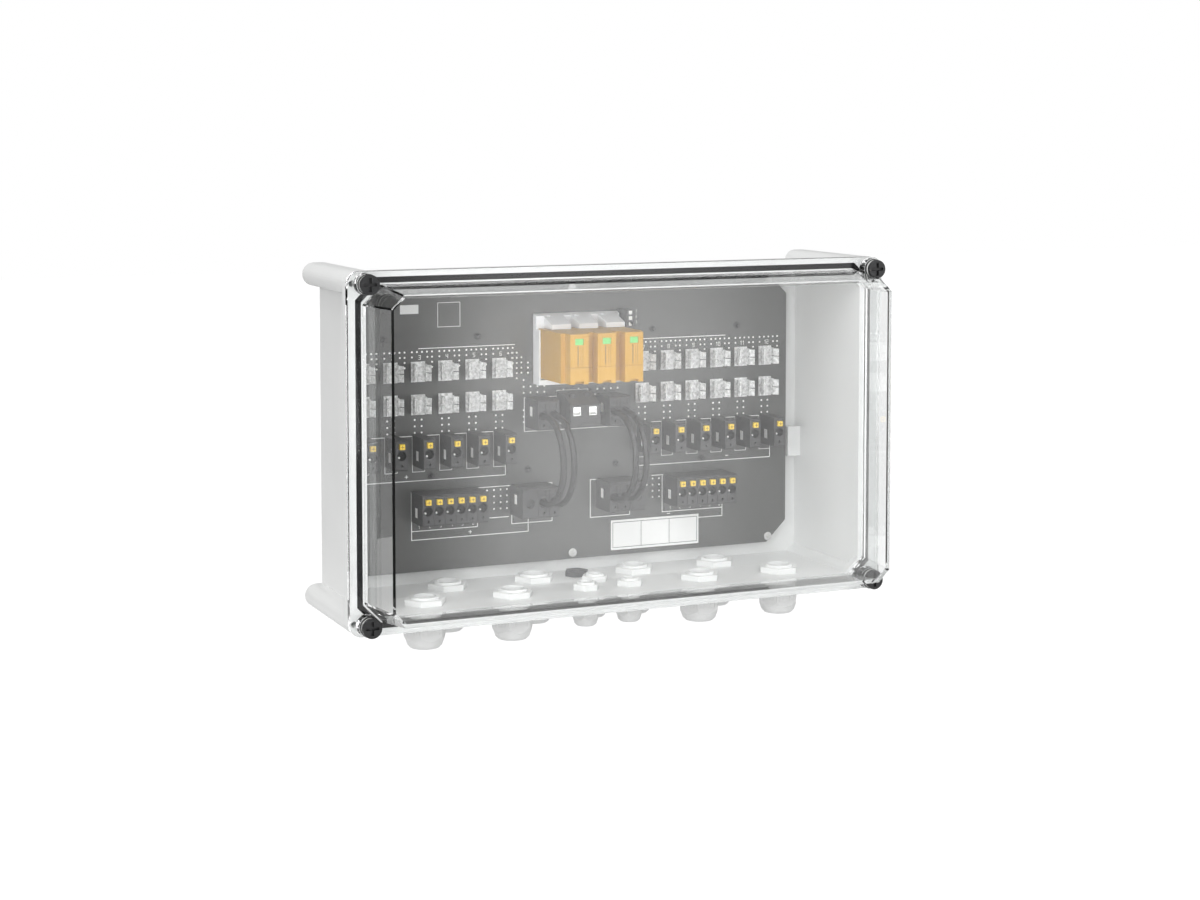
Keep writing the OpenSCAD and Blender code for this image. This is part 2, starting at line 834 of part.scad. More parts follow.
module release_button(x, top) {
    color("gold") stand_on_board()
        block(x, top - button_drop - button_s / 2, term_z + button_proud - button_l,
            button_s, button_s, button_l);
}

// Pole whose wire stays in: deep entry, test hole and a flush release face
module link_pole() {
    wire_entry();
    translate([0, -entry_drop, term_d - wire_grip]) cylinder(r = wire_r + wire_r / 10, h = wire_grip);
    test_hole();
    block(0, -button_drop - button_s / 2, term_d - recess_d, button_s, button_s, recess_d + over);
}

module link_poles() {
    for (s = [-1, 1])
        translate([s * pole_pitch / 2, 0, 0]) link_pole();
    pole_score(0);
}

module link_terminal_top(s) {
    color([0.1, 0.1, 0.1]) stand_on_board() translate([s * link_x, link_top, face_z]) difference() {
        terminal_body(2 * pole_pitch);
        link_poles();
    }
}

// The lower block has one more pole on its outer side
module link_terminal_bottom(s) {
    color([0.1, 0.1, 0.1]) stand_on_board() translate([s * link_x, output_top, face_z]) difference() {
        union() {
            terminal_body(2 * pole_pitch);
            translate([s * (spare_x - link_x), 0, 0]) terminal_body(spare_w);
        }
        link_poles();
        pole_score(s * pole_pitch);
        translate([s * (spare_x - link_x), 0, 0]) wire_entry();
    }
}

module link_wire() {
    for (y = [-1, 1])
        translate([0, y * link_bend_r, -wire_lead - wire_grip])
            cylinder(r = wire_r, h = wire_lead + wire_grip);
    rotate([90, 0, 90]) rotate_extrude(angle = 180) translate([link_bend_r, 0]) circle(wire_r);
}

module link_wires() {
    color([0.15, 0.15, 0.15]) stand_on_board() for (s = [-1, 1], p = [-1, 1])
        translate([s * link_x + p * pole_pitch / 2, link_bend_y, link_bend_z]) link_wire();
}

// Earth terminal

// Places its children at a pole's screw hole, square to the sloping top
module on_earth_slope() {
    for (s = [-1, 1])
        translate([
            s * earth_pole,
            earth_y + earth_h - earth_bevel_y / 4,
            face_z + earth_d - earth_bevel_z * 3 / 4
        ]) rotate([-earth_tilt, 0, 0]) children();
}

module earth_ports(side, depth, behind) {
    for (s = [-1, 1])
        block(s * earth_pole, earth_y + earth_port_rise - side / 2, face_z + earth_d - earth_port_d,
            side, side, depth + behind);
}

module earth_terminal() {
    color([0.1, 0.1, 0.1]) stand_on_board() difference() {
        sweep_x(earth_w) polygon([
            [earth_y, face_z], [earth_y + earth_h, face_z],
            [earth_y + earth_h, face_z + earth_d - earth_bevel_z],
            [earth_y + earth_h - earth_bevel_y, face_z + earth_d], [earth_y, face_z + earth_d]
        ]);
        earth_ports(earth_port, earth_port_d, over);
        on_earth_slope() translate([0, 0, -earth_hole_d])
            cylinder(r = earth_screw_r + screw_fit, h = earth_hole_d + 2 * over);
    }
}

// Square metal cages that grip the earth wires
module earth_clamps() {
    color("silver") stand_on_board() difference() {
        earth_ports(earth_port - 2 * screw_fit, earth_port_d - recess_d, 0);
        translate([0, 0, clamp_t]) earth_ports(earth_port - 2 * clamp_t, earth_port_d, over);
    }
}

module earth_screws() {
    slot_w = earth_screw_r / 3;
    color("silver") stand_on_board() on_earth_slope() translate([0, 0, -earth_hole_d]) difference() {
        cylinder(r = earth_screw_r, h = earth_screw_h);
        block(0, -earth_screw_r - over, earth_screw_h * 2 / 3,
            slot_w, 2 * earth_screw_r + 2 * over, earth_screw_h);
    }
}

// Cable glands

// Tube with a fixed hexagon against the box and threads at both ends
module gland_body(thread_r, flats) {
    bore_r = thread_r - gland_wall;
    inside = nut_top + nut_proud;
    difference() {
        union() {
            hexagon(flats, gland_hex_h);
            translate([0, 0, -inside]) cylinder(r = thread_r, h = inside + over);
            cylinder(r = thread_r, h = gland_hex_h + dome_thread);
        }
        translate([0, 0, -inside - over])
            cylinder(r = bore_r, h = inside + gland_hex_h + dome_thread + 2 * over);
    }
}

module gland_bodies() {
    color("gainsboro") stand_up() {
        at_glands(big_glands) gland_body(big_thread_r, big_flats);
        at_glands(small_glands) gland_body(small_thread_r, small_flats);
    }
}

// Hexagon nut that runs out into a round dome with an open mouth
module dome_nut(thread_r, flats, drop) {
    start = gland_hex_h + thread_fit;
    seat = gland_hex_h + dome_thread + seal_l;
    rim = flats / 2 / cos(30);
    mouth_r = thread_r - gland_wall;
    end_r = mouth_r + dome_lip * 0.6;
    knee = (drop - start) * 0.45;
    difference() {
        intersection() {
            translate([0, 0, start]) hexagon(flats, drop - start);
            rotate_extrude() polygon([
                [0, start], [rim, start], [rim, drop - knee],
                [flats * 0.5, drop - knee * 0.6], [flats * 0.45, drop - knee * 0.2], [end_r, drop], [0, drop]
            ]);
        }
        translate([0, 0, start - over]) cylinder(r = thread_r + thread_fit, h = seat - start + over);
        cylinder(r = mouth_r, h = drop + over);
    }
}

module gland_dome_nuts() {
    color("gainsboro") stand_up() {
        at_glands(big_glands) dome_nut(big_thread_r, big_flats, big_drop);
        at_glands(small_glands) dome_nut(small_thread_r, small_flats, small_drop);
    }
}

module lock_nut(thread_r, flats) {
    translate([0, 0, -nut_top]) difference() {
        hexagon(flats, nut_h);
        translate([0, 0, -over]) cylinder(r = thread_r + thread_fit, h = nut_h + 2 * over);
    }
}

module gland_locknuts() {
    color("gainsboro") stand_up() {
        at_glands(big_glands) lock_nut(big_thread_r, big_flats - 1);
        at_glands(small_glands) lock_nut(small_thread_r, small_flats - 1);
    }
}

module seal_ring(thread_r) {
    translate([0, 0, gland_hex_h + dome_thread]) difference() {
        cylinder(r = thread_r, h = seal_l);
        translate([0, 0, -over]) cylinder(r = thread_r - gland_wall - seal_wall, h = seal_l + 2 * over);
    }
}

module gland_seals() {
    color("dimgray") stand_up() {
        at_glands(big_glands) seal_ring(big_thread_r);
        at_glands(small_glands) seal_ring(small_thread_r);
    }
}

module vent_plug() {
    color("dimgray") stand_up() at_glands(vent_place) {
        cylinder(r = vent_cap_r, h = vent_cap_h);
        translate([0, 0, -nut_top - nut_proud / 2])
            cylinder(r = vent_thread_r, h = nut_top + nut_proud / 2 + over);
    }
}

module vent_locknut() {
    color("dimgray") stand_up() at_glands(vent_place) lock_nut(vent_thread_r, vent_flats);
}

enclosure_base();
cover();
cover_gasket();
for (c = corners)
    cover_screw(c);
circuit_board();
board_screws();
surge_base();
for (i = [0:2]) {
    surge_module(i - 1);
    status_flag(i - 1);
}
alarm_header();
fuse_clips();
input_terminals(-1);  // input_terminals_positive
input_terminals(1);  // input_terminals_negative
output_terminal(-1);  // output_terminal_positive
output_terminal(1);  // output_terminal_negative
for (i = [0:2 * per_side - 1]) {
    release_button(string_places[i], input_top);
    release_button(output_places[i], output_top);
}
earth_terminal();
earth_clamps();
earth_screws();
for (i = [0, 1]) {
    link_terminal_top(2 * i - 1);
    link_terminal_bottom(2 * i - 1);
}
link_wires();
gland_bodies();
gland_dome_nuts();
gland_locknuts();
gland_seals();
vent_plug();
vent_locknut();
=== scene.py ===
"""Looks of the combiner box: surfaces, board print, small fittings, light and camera."""

import json
import math

import bmesh
import bpy
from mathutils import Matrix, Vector


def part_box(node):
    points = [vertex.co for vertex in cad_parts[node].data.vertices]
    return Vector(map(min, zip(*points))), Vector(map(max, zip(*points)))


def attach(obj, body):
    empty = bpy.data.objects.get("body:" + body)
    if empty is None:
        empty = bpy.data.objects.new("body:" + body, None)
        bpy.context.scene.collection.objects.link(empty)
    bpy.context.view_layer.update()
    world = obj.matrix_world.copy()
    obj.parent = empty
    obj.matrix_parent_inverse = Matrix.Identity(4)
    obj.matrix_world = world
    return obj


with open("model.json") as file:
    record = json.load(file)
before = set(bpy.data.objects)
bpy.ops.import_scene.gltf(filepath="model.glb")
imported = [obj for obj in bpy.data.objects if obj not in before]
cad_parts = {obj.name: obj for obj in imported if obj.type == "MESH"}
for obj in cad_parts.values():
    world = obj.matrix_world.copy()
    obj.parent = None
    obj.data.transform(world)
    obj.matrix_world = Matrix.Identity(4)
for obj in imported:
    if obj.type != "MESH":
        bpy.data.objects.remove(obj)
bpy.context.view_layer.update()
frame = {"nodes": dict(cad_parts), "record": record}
nodes = frame["nodes"]
scene = bpy.context.scene
MM = 0.001
BODY = "enclosure"
CORNERS = ("top_left", "top_right", "bottom_left", "bottom_right")
POLES = range(1, 13)


def at(x, y, z):
    """A point of the front view in millimetres: x right, y up, z out from the wall."""
    return Vector((x, -z, y)) * MM


def box_mm(node):
    """Low and high corners of a CAD node, in millimetres along Blender's axes."""
    return tuple(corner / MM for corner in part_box(node))


def middle(node):
    """Middle of a CAD node in the front view."""
    low, high = box_mm(node)
    return (low.x + high.x) / 2, (low.z + high.z) / 2


def front(node):
    """Depth at which a CAD node ends towards the viewer."""
    return -box_mm(node)[0].y


# Surfaces


def add(tree, kind, inputs=None, **settings):
    """A node, with sockets set to values or linked to other sockets."""
    n = tree.nodes.new(kind)
    for name, value in settings.items():
        setattr(n, name, value)
    for key, value in (inputs or {}).items():
        if isinstance(value, bpy.types.NodeSocket):
            tree.links.new(value, n.inputs[key])
        else:
            n.inputs[key].default_value = value
    return n


def start(name):
    mat = bpy.data.materials.new(name)
    mat.use_nodes = True
    tree = mat.node_tree
    return mat, tree, tree.nodes["Principled BSDF"]


def show(tree, shader):
    """Makes a shader the surface of a material."""
    tree.links.new(shader, tree.nodes["Material Output"].inputs["Surface"])


def shade(color, gain):
    return tuple(min(1.0, c * gain) for c in color) + (1.0,)


def noise(tree, size, detail=3.0):
    """Noise with features of about size millimetres."""
    coords = add(tree, "ShaderNodeTexCoord")
    return add(
        tree,
        "ShaderNodeTexNoise",
        {"Vector": coords.outputs["Object"], "Scale": 1000 / size, "Detail": detail},
    ).outputs["Fac"]


def ramp(tree, value, low, high):
    """Stretches the middle of a noise over low to high."""
    return add(
        tree,
        "ShaderNodeMapRange",
        {"Value": value, "From Min": 0.3, "From Max": 0.7, "To Min": low, "To Max": high},
    ).outputs["Result"]


def surface(name, color, rough, metal=0.0, vary=0.05, drift=25, grain=0.5, bump=0.06):
    """Moulded or metal surface: its colour drifts and its grain roughens it, both in millimetres."""
    mat, tree, bsdf = start(name)
    cloud = noise(tree, drift)
    fine = noise(tree, grain, 2.0)
    tint = add(
        tree,
        "ShaderNodeMix",
        {0: ramp(tree, cloud, 0, 1), 6: shade(color, 1 - vary), 7: shade(color, 1 + vary)},
        data_type="RGBA",
    )
    tree.links.new(tint.outputs[2], bsdf.inputs["Base Color"])
    tree.links.new(ramp(tree, fine, rough * 0.85, rough * 1.15), bsdf.inputs["Roughness"])
    relief = add(tree, "ShaderNodeBump", {"Height": fine, "Strength": bump, "Distance": 0.0002})
    tree.links.new(relief.outputs["Normal"], bsdf.inputs["Normal"])
    bsdf.inputs["Metallic"].default_value = metal
    return mat


def clear_plastic(name, tint):
    """Clear moulding: glass to the eye, but lamps shine through it."""
    mat, tree, bsdf = start(name)
    bsdf.inputs["Base Color"].default_value = tint + (1.0,)
    bsdf.inputs["Transmission Weight"].default_value = 1.0
    bsdf.inputs["IOR"].default_value = 1.53
    tree.links.new(ramp(tree, noise(tree, 18), 0.0, 0.006), bsdf.inputs["Roughness"])
    path = add(tree, "ShaderNodeLightPath")
    through = add(tree, "ShaderNodeBsdfTransparent", {"Color": (0.97, 0.975, 0.975, 1)})
    mix = add(
        tree,
        "ShaderNodeMixShader",
        {0: path.outputs["Is Shadow Ray"], 1: bsdf.outputs["BSDF"], 2: through.outputs["BSDF"]},
    )
    show(tree, mix.outputs["Shader"])
    return mat


MATERIALS = {
    "grey_housing": surface("housing_grey", (0.74, 0.745, 0.74), 0.42, vary=0.02, drift=60, grain=0.6),
    "clear_cover": clear_plastic("cover_clear", (0.985, 0.99, 0.99)),
    "gasket_rubber": surface("rubber_black", (0.012, 0.012, 0.013), 0.62, vary=0.2, grain=0.3, bump=0.15),
    "screw_black": surface("screw_nylon", (0.010, 0.010, 0.011), 0.32, vary=0.2, grain=0.4),
    "board_laminate": surface(
        "solder_mask", (0.085, 0.086, 0.083), 0.30, vary=0.05, drift=40, grain=0.3, bump=0.02
    ),
    "steel": surface("screw_steel", (0.70, 0.70, 0.69), 0.24, 1.0, vary=0.06, drift=3, grain=0.2),
    # The tin's base colour is mottled from half to full white in blotches about 2.4 mm across: painted glints
    # and painted dark reflections on the clips.
    "tinned_copper": surface(
        "tin_painted_glints", (0.99, 0.99, 0.98), 0.24, vary=0.5, drift=2.4, grain=0.9, bump=0.5
    ),
    "white_plastic": surface("holder_white", (0.95, 0.96, 0.98), 0.38, vary=0.02, grain=0.4),
    "module_orange": surface("module_orange", (0.56, 0.30, 0.012), 0.40, vary=0.05, grain=0.4),
    "flag_green": surface("flag_green", (0.22, 0.70, 0.20), 0.45, vary=0.05, drift=4),
    "terminal_black": surface("terminal_black", (0.055, 0.055, 0.056), 0.46, vary=0.12, drift=8, grain=0.35),
    "button_orange": surface("button_orange", (0.86, 0.60, 0.06), 0.38, vary=0.06, drift=4),
    "wire_jacket": surface(
        "wire_jacket", (0.018, 0.018, 0.019), 0.24, vary=0.2, drift=6, grain=0.4, bump=0.03
    ),
    "gland_grey": surface("gland_polyamide", (0.79, 0.795, 0.79), 0.48, vary=0.025, drift=15, grain=0.4),
    "vent_dark": surface("vent_dark", (0.055, 0.057, 0.060), 0.5, vary=0.12, drift=6),
}
INK_WHITE = surface("print_white", (0.92, 0.92, 0.90), 0.55, vary=0.04, drift=5, grain=0.2)
TIN_DOT = surface("tin_dot", (0.95, 0.95, 0.93), 0.35, 0.2, vary=0.04, drift=2, grain=0.4)
# Near-black for the floors and funnels of the wire entries: painted shade of the deep holes, not a colour of
# the terminal blocks.
ENTRY_PAINTED_SHADE = surface("entry_shade_black", (0.004, 0.004, 0.004), 0.7, vary=0.2, drift=3)
MODULE_PRINT = surface("module_print", (0.20, 0.10, 0.03), 0.55, vary=0.1, drift=4)
PLATE_WHITE = surface("label_white", (0.86, 0.86, 0.85), 0.35, vary=0.02, drift=20, grain=0.3, bump=0.03)

slots = {part["node"]: part.get("material_slot") for part in frame["record"]["subparts"]}
for name, obj in nodes.items():
    if not obj.material_slots:
        obj.data.materials.append(None)
    for s in obj.material_slots:
        s.material = MATERIALS[slots[name]]

# Printed board and small fittings


class Pieces:
    """Collects small solids of the front view and makes one object of them."""

    def __init__(self):
        self.bm = bmesh.new()

    def prism(self, outline, low, high, place=at):
        """A flat outline between two depths."""
        ends = [[self.bm.verts.new(place(x, y, z)) for x, y in outline] for z in (low, high)]
        count = len(outline)
        for loop in ends:
            self.bm.faces.new(loop)
        for i in range(count):
            j = (i + 1) % count
            self.bm.faces.new((ends[0][i], ends[0][j], ends[1][j], ends[1][i]))

    def block(self, x, y, w, h, low, high, place=at):
        a, b = w / 2, h / 2
        self.prism([(x - a, y - b), (x + a, y - b), (x + a, y + b), (x - a, y + b)], low, high, place)

    def disc(self, x, y, r, low, high, sides=10):
        turns = [2 * math.pi * i / sides for i in range(sides)]
        self.prism([(x + r * math.cos(t), y + r * math.sin(t)) for t in turns], low, high)

    def lathe(self, x, y, profile, sides=36):
        """A ring whose section is a closed profile of radius and depth."""
        turns = [2 * math.pi * i / sides for i in range(sides)]
        loops = []
        for r, z in profile:
            loops.append([self.bm.verts.new(at(x + r * math.cos(t), y + r * math.sin(t), z)) for t in turns])
        for a, b in zip(loops, loops[1:] + loops[:1]):
            for i in range(sides):
                j = (i + 1) % sides
                self.bm.faces.new((a[i], a[j], b[j], b[i]))

    def stroke(self, a, b, width, low, high, place=at):
        """A straight stroke from a to b that ends half a width past both."""
        dx, dy = b[0] - a[0], b[1] - a[1]
        length = math.hypot(dx, dy)
        ux, uy = dx / length * width / 2, dy / length * width / 2
        self.prism(
            [
                (a[0] - ux + uy, a[1] - uy - ux),
                (b[0] + ux + uy, b[1] + uy - ux),
                (b[0] + ux - uy, b[1] + uy + ux),
                (a[0] - ux - uy, a[1] - uy + ux),
            ],
            low,
            high,
            place,
        )

    def line(self, points, width, low, high):
        for a, b in zip(points, points[1:]):
            self.stroke(a, b, width, low, high)

    def make(self, name, slot, mat, body=BODY, bevel=0.0):
        bmesh.ops.recalc_face_normals(self.bm, faces=self.bm.faces)
        mesh = bpy.data.meshes.new(name)
        self.bm.to_mesh(mesh)
        self.bm.free()
        obj = bpy.data.objects.new(name, mesh)
        scene.collection.objects.link(obj)
        mesh.materials.append(mat)
        if bevel:
            round_edges(obj, bevel)
        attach(obj, body)


def round_edges(obj, width, weld=False):
    """Small radius on the sharp edges of a piece."""
    if weld:
        obj.modifiers.new("weld", "WELD").merge_threshold = 1e-6
        flat = obj.modifiers.new("flat", "DECIMATE")
        flat.decimate_type = "DISSOLVE"
        flat.angle_limit = math.radians(0.5)
    round_ = obj.modifiers.new("round", "BEVEL")
    round_.width = width * MM
    round_.segments = 2
    round_.limit_method = "ANGLE"
    round_.angle_limit = math.radians(40)
    round_.use_clamp_overlap = True
    round_.harden_normals = True


FACE = front("circuit_board")
SUNK = FACE - 0.05
INK = (FACE - 0.02, FACE + 0.05)
LINE_W = 0.7
STRINGS = [middle(f"input_button_{i}")[0] for i in POLES]

# Strokes of the few plain signs on the board, on a grid one wide and two high
SIGNS = {
    "0": [[(0, 0), (1, 0), (1, 2), (0, 2), (0, 0)]],
    "1": [[(0.2, 1.6), (0.6, 2), (0.6, 0)]],
    "2": [[(0, 2), (1, 2), (1, 1), (0, 1), (0, 0), (1, 0)]],
    "3": [[(0, 2), (1, 2), (1, 0), (0, 0)], [(0.2, 1), (1, 1)]],
    "4": [[(0, 2), (0, 1), (1, 1)], [(1, 2), (1, 0)]],
    "5": [[(1, 2), (0, 2), (0, 1), (1, 1), (1, 0), (0, 0)]],
    "6": [[(1, 2), (0, 2), (0, 0), (1, 0), (1, 1), (0, 1)]],
    "7": [[(0, 2), (1, 2), (0.4, 0)]],
    "8": [[(0, 0), (1, 0), (1, 2), (0, 2), (0, 0)], [(0, 1), (1, 1)]],
    "9": [[(1, 1), (0, 1), (0, 2), (1, 2), (1, 0), (0, 0)]],
    "+": [[(0, 1), (1, 1)], [(0.5, 0.5), (0.5, 1.5)]],
    "-": [[(0, 1), (1, 1)]],
}


def sign(ink, text, x, y, size, width=0.45):
    """Text centred on x, with its foot at y and its letters size high."""
    step = size * 0.72
    left = x - step * (len(text) - 1) / 2 - size / 4
    for i, letter in enumerate(text):
        for path in SIGNS[letter]:
            points = [(left + i * step + px * size / 2, y + py * size / 2) for px, py in path]
            ink.line(points, width, *INK)


def frame_lines(ink, x0, y0, x1, y1, width=LINE_W):
    ink.line([(x0, y0), (x1, y0), (x1, y1), (x0, y1), (x0, y0)], width, *INK)


def board_print():
    """White lines round the blocks, the numbers of the poles and the signs of the two sides."""
    ink = Pieces()
    for i, x in enumerate(STRINGS):
        sign(ink, str(i + 1), x + 1.7, 63.2, 3.4)
        frame_lines(ink, x - 5.5, -36.1, x + 5.8, -4.3, 0.5)
        out_x = middle(f"output_button_{i + 1}")[0]
        sign(ink, str(i % 6 + 1), out_x + 2, -86.6, 2.6, 0.35)
    for first, last, mark, place in ((0, 5, "+", -161), (6, 11, "-", 154.3)):
        frame_lines(ink, STRINGS[first] - 5.5, -44, STRINGS[last] + 5.8, -4.3)
        sign(ink, mark, place, -42.6, 5, 0.7)
    for path in (
        [(-149, 72.6), (-58.7, 72.6)],
        [(57, 72.8), (152, 72.8)],
        [(-156, -88.8), (-94.6, -88.8), (-94.6, -84.5)],
        [(-82.7, -81.9), (-65, -81.9)],
        [(76.9, -54), (87.4, -54)],
        [(149.4, -88.6), (149.4, -96.5), (95, -96.5)],
    ):
        ink.line(path, LINE_W, *INK)
    for corners in (
        (-156.5, -96.6, -46, -54),
        (87.4, -88.6, 149.4, -54),
        (-61.8, -88.7, -22.7, -54),
        (15, -88.6, 54.5, -53.9),
        (-49.5, -6.2, 43.1, 24.2),
        (-17.9, -0.5, 12.7, 29.3),
    ):
        frame_lines(ink, *corners)
    sign(ink, "+", -101.5, -95.4, 5, 0.7)
    sign(ink, "-", 94, -93, 5, 0.7)
    frame_lines(ink, -131.2, 91, -110.4, 112.3, 0.5)
    for i in range(3):
        sign(ink, str(i + 1), 61, 97.6 - 5.1 * i, 2.2, 0.3)
    ink.make("board_print", "white_plastic", INK_WHITE)


def board_vias():
    """Tinned dots of the through-plating, in rows beside the clips and the blocks."""
    places = set()
    for x in STRINGS:
        places.update((x - 5.4 + 4.65 * k, 69.7) for k in range(5))
        places.update((x + dx, 65.1) for dx in (-5.4, 8.9, 13.2))
        places.update((x + 13.2, 60.6 - 4.6 * k) for k in range(2))
        places.update((x + dx, 10 - 5.7 * k) for dx in (-3.2, 3.2) for k in range(3))
    for x, top, count in ((-61.2, 65.3, 4), (-56.7, 65.2, 6), (-52.2, 60.8, 4), (-45.9, 55.9, 3)):
        places.update((x, top - 4.6 * k) for k in range(count))
    places.update((-50.1, y) for y in (40.3, 13.1, 7.4, 2.4))
    places.update((-50.1 + 6.7 * k, y) for k in range(4) for y in (34.2, 28.8))
    places.update((x, 29.8) for x in (-11.4, 3.5))
    places.update((22.1 + 6.7 * k, 28.9) for k in range(4))
    for x in (-78.8, -72.5, -66.5, 77.6, 84.2):
        places.update((x, -57 - 5.7 * k) for k in range(4))
    places.update([(-85.4, -57), (64.8, -57), (71.6, -62.4)])
    dots = Pieces()
    for x, y in sorted(places):
        dots.disc(x, y, 0.9, SUNK, FACE + 0.12)
    dots.make("board_vias", "tinned_copper", TIN_DOT)


def bare_plates():
    """A ruled label and a small tag, both without print."""
    plate_top = FACE + 0.3
    rule = (0.5, FACE + 0.25, FACE + 0.34)
    low, high = -118.2, -95.2
    columns = (37.4, 65.9, 94.5, 123)
    label, ruling, tag = Pieces(), Pieces(), Pieces()
    label.block(80.2, -106.7, 89.4, 27.6, SUNK, plate_top)
    label.make("board_label", "white_plastic", PLATE_WHITE, bevel=0.12)
    for y in (high, low):
        ruling.stroke((columns[0], y), (columns[-1], y), *rule)
    for x in columns:
        ruling.stroke((x, high), (x, low), *rule)
    ruling.make("label_ruling", "terminal_black", MATERIALS["terminal_black"])
    tag.block(-157.6, 107.3, 17, 8, SUNK, plate_top)
    tag.make("board_tag", "white_plastic", PLATE_WHITE, bevel=0.12)


def board_pegs():
    """Black pegs, each with a foot."""
    pegs = Pieces()
    for y, row in ((81.6, (-181, -94, 77.5, 164)), (-40.4, (-138, -46, 40.5, 128))):
        for x in row:
            pegs.disc(x, y, 3.2, FACE - 0.1, FACE + 1.2, 24)
            pegs.disc(x, y, 1.9, FACE - 0.1, FACE + 5.5, 20)
    pegs.make("board_pegs", "terminal_black", MATERIALS["terminal_black"], bevel=0.4)


def wire_entries():
    """Near-black floors and funnel walls in the wire entries, painted shade of the deep holes, darker than
    the block's own black, with a bright clamp at the lower left of each.
    """
    top = front("input_terminals_positive") - 0.1
    bottom = top - 3.4
    funnel = [(3.1, bottom), (3.3, bottom), (4.08, top), (3.9, top)]
    below_button = 8
    floors, contacts = Pieces(), Pieces()
    for i in POLES:
        for node in (f"input_button_{i}", f"output_button_{i}"):
            x, y = middle(node)
            y -= below_button
            # Floor and funnel of each entry in painted-shade black.
            floors.disc(x, y, 3.3, bottom - 0.2, bottom + 0.1, 28)
            floors.lathe(x, y, funnel, 28)
            contacts.disc(x - 1.6, y - 1.8, 0.95, bottom - 0.1, bottom + 1.1, 12)
    floors.make("entry_painted_shade", "terminal_black", ENTRY_PAINTED_SHADE)
    contacts.make("clamp_contacts", "tinned_copper", TIN_DOT, bevel=0.3)


def on_left_side(depth, y, x):
    """Outlines drawn as [depth, y] on faces that look to the left."""
    return at(x, y, depth)


def terminal_marks():
    """Plain bars on the sides of the blocks that face the left."""
    sides = [(x - 5.5, -20) for x in STRINGS]
    sides += [(box_mm(f"output_terminal_{pole}")[0].x, -70) for pole in ("positive", "negative")]
    for corner in CORNERS:
        node = f"link_terminal_{corner}"
        sides.append((box_mm(node)[0].x, middle(node)[1] + 2))
    marks = Pieces()
    for x, y in sides:
        for depth in (23.5, 25.5, 27.5):
            marks.block(depth, y, 1.6, 8.5, x - 0.1, x + 0.05, on_left_side)
    marks.make("terminal_marks", "white_plastic", INK_WHITE)


def module_prints():
    """Plain bars and the seam on the front of each surge module."""
    for name in ("left", "middle", "right"):
        low, high = box_mm(f"surge_module_{name}")
        x = (low.x + high.x) / 2
        seam_y = low.z + (high.z - low.z) * 0.33
        layer = (-low.y - 0.1, -low.y + 0.04)
        bars = Pieces()
        bars.block(x, seam_y, high.x - low.x - 1.8, 0.25, *layer)
        for dx, width in ((-1.4, 0.9), (1.4, 0.3), (3.2, 0.3)):
            bars.block(x + dx, seam_y + 10.5, width, 17, *layer)
        bars.make(f"module_print_{name}", "terminal_black", MODULE_PRINT, f"surge_plug_{name}")


def button_crosses():
    """Dark cross on the face of each release button."""
    arm, width = 2.9, 0.5
    for kind in ("input", "output"):
        for i in POLES:
            node = f"{kind}_button_{i}"
            x, y = middle(node)
            face = front(node)
            cross = Pieces()
            cross.block(x, y, arm, width, face - 0.1, face + 0.05)
            cross.block(x, y, width, arm, face - 0.1, face + 0.06)
            cross.make(f"button_cross_{kind}_{i}", "terminal_black", MODULE_PRINT, f"{kind}_release_{i}")


def screw_rings():
    """White rings in the grooves of the cover screws."""
    inner, outer = 6.85, 8.0
    for corner in CORNERS:
        node = f"cover_screw_{corner}"
        low, high = front(node) - 5.5, front(node) - 4.15
        white_ring = Pieces()
        white_ring.lathe(*middle(node), [(inner, low), (outer, low), (outer, high), (inner, high)])
        white_ring.make(f"screw_ring_{corner}", "white_plastic", INK_WHITE, f"screw_{corner}")


def alarm_ports():
    """Pale floors of the alarm header's ports."""
    x, y = middle("alarm_header")
    face = front("alarm_header")
    pitch, width = 5.1, 3.4
    ports = Pieces()
    for k in (-1, 0, 1):
        ports.block(x + 0.9, y + pitch * k, width, width, face - 1.2, face - 0.3)
    ports.make("alarm_ports", "white_plastic", INK_WHITE)


def upright(x, depth, y):
    """Outlines drawn as [x, depth] and raised along the height."""
    return at(x, y, depth)


def gland_ribs():
    """Fine grip ribs on the flats of the dome nuts."""
    top, count = -149.2, 30
    ribs = Pieces()
    for mount in frame["record"]["mounts"]:
        if "gland" not in mount["name"]:
            continue
        x, depth = mount["pos_m"][0] / MM, -mount["pos_m"][1] / MM
        flats, foot = (33, -161.6) if mount["name"].startswith("large") else (22, -158.8)
        for k in range(count):
            turn = 2 * math.pi * (k + 0.5) / count
            reach = flats / 2 / math.cos(turn % (math.pi / 3) - math.pi / 6)
            ends = [
                (x + math.cos(turn) * r, depth + math.sin(turn) * r) for r in (reach - 0.8, reach - 0.05)
            ]
            ribs.stroke(*ends, 0.7, foot, top, upright)
    ribs.make("gland_ribs", "gland_grey", MATERIALS["gland_grey"])


